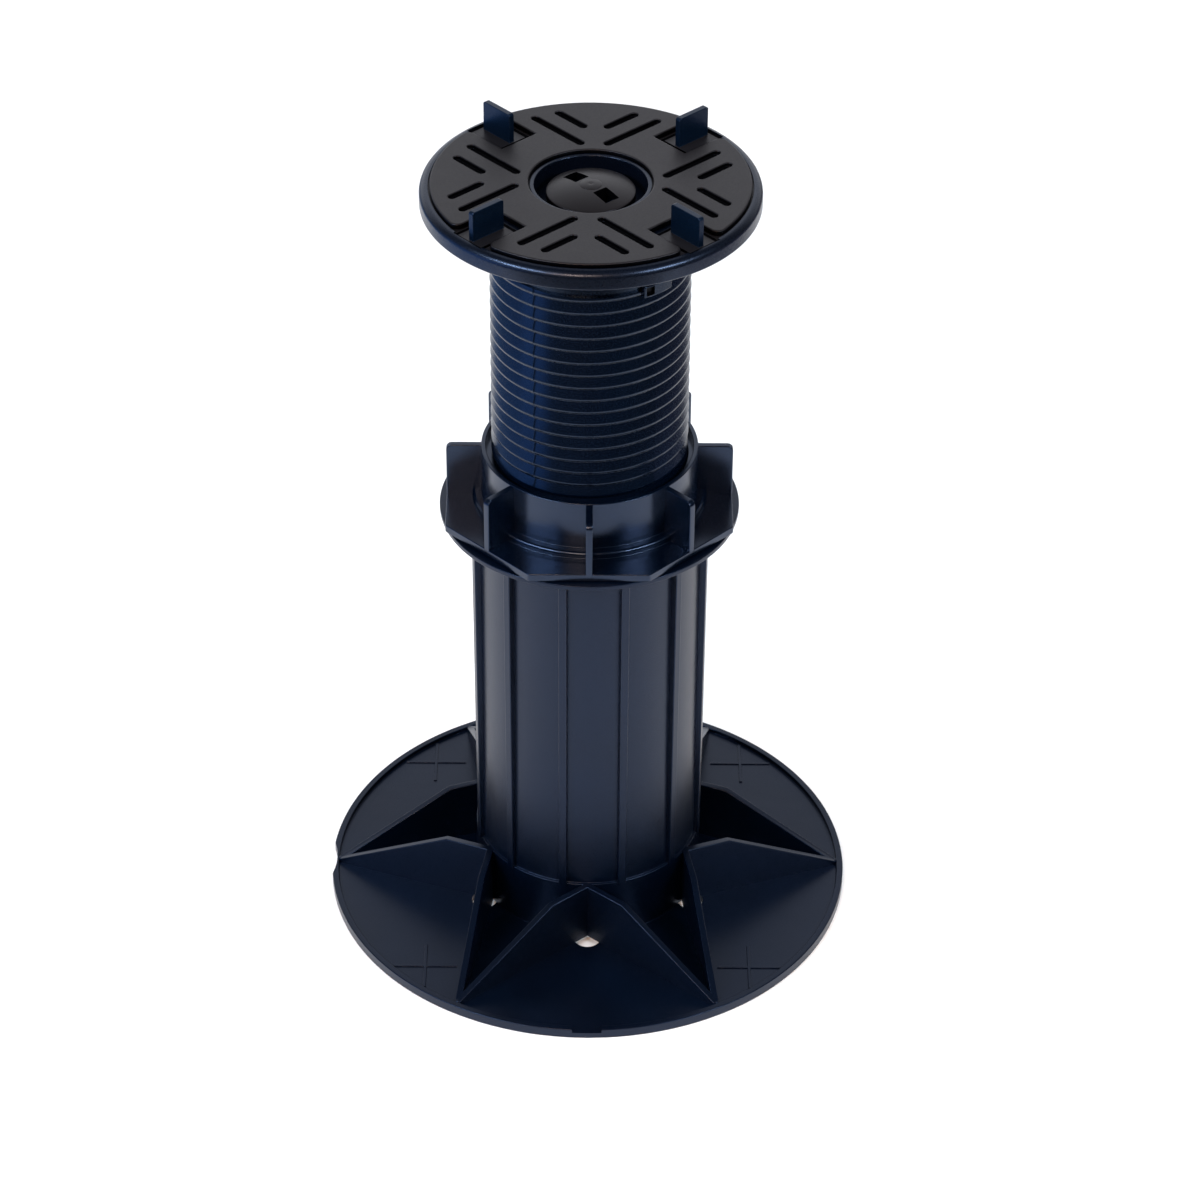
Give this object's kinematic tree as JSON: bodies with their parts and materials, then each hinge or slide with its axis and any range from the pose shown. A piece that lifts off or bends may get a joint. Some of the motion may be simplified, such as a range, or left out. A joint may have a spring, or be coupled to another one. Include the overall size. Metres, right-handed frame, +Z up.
{
  "type": "decking pedestal",
  "caption": "Height-adjustable support for raised decking: star-ribbed round foot, ribbed barrel, finned threaded ring, screwed stem and a tilting head with pad and spacer tabs.",
  "frame": {"origin": "centre of the foot's underside, on the surface that it stands on", "axes": "+Z up through the stem to the head, -Y to the front of the foot, +X to the right"},
  "size_m": [0.1995, 0.2, 0.3186],
  "materials": {
    "foot_plastic": "moulded polypropylene, near-black navy, satin",
    "ring_plastic": "moulded polypropylene, near-black navy, satin",
    "stem_plastic": "moulded polypropylene, near-black navy, satin",
    "head_plastic": "moulded polypropylene, near-black, satin",
    "retainer_plastic": "moulded polypropylene, near-black, satin",
    "pad_rubber": "moulded rubber-like pad, dark warm grey, matt",
    "tab_plastic": "moulded polypropylene, near-black, satin"
  },
  "bodies": {
    "base": {"base_foot": "foot_plastic"},
    "ring": {"adjusting_ring": "ring_plastic"},
    "stem": {"threaded_stem": "stem_plastic"},
    "retainer": {"head_retainer": "retainer_plastic"},
    "head": {"head_plate": "head_plastic", "top_pad": "pad_rubber", "spacer_tab_1": "tab_plastic", "spacer_tab_2": "tab_plastic", "spacer_tab_3": "tab_plastic", "spacer_tab_4": "tab_plastic"}
  },
  "joints": [
    {"name": "stem_lift", "type": "slide", "parent": "base", "child": "stem", "axis": [0, 0, 1], "range_m": [-0.081, 0.0054]},
    {"name": "ring_turn", "type": "hinge", "parent": "base", "child": "ring", "pos_m": [0, 0, 0.1768], "axis": [0, 0, 1], "range_deg": [-385, 5722]},
    {"name": "head_spin", "type": "hinge", "parent": "stem", "child": "retainer", "pos_m": [0, 0, 0.2945], "axis": [0, 0, 1], "continuous": true},
    {"name": "head_tilt", "type": "hinge", "parent": "retainer", "child": "head", "pos_m": [0, 0, 0.258], "axis": [1, 0, 0], "range_deg": [-2.86, 2.86]}
  ],
  "couplings": [
    {"joint": "ring_turn", "follows": "stem_lift", "rad_per_m": -1232}
  ]
}
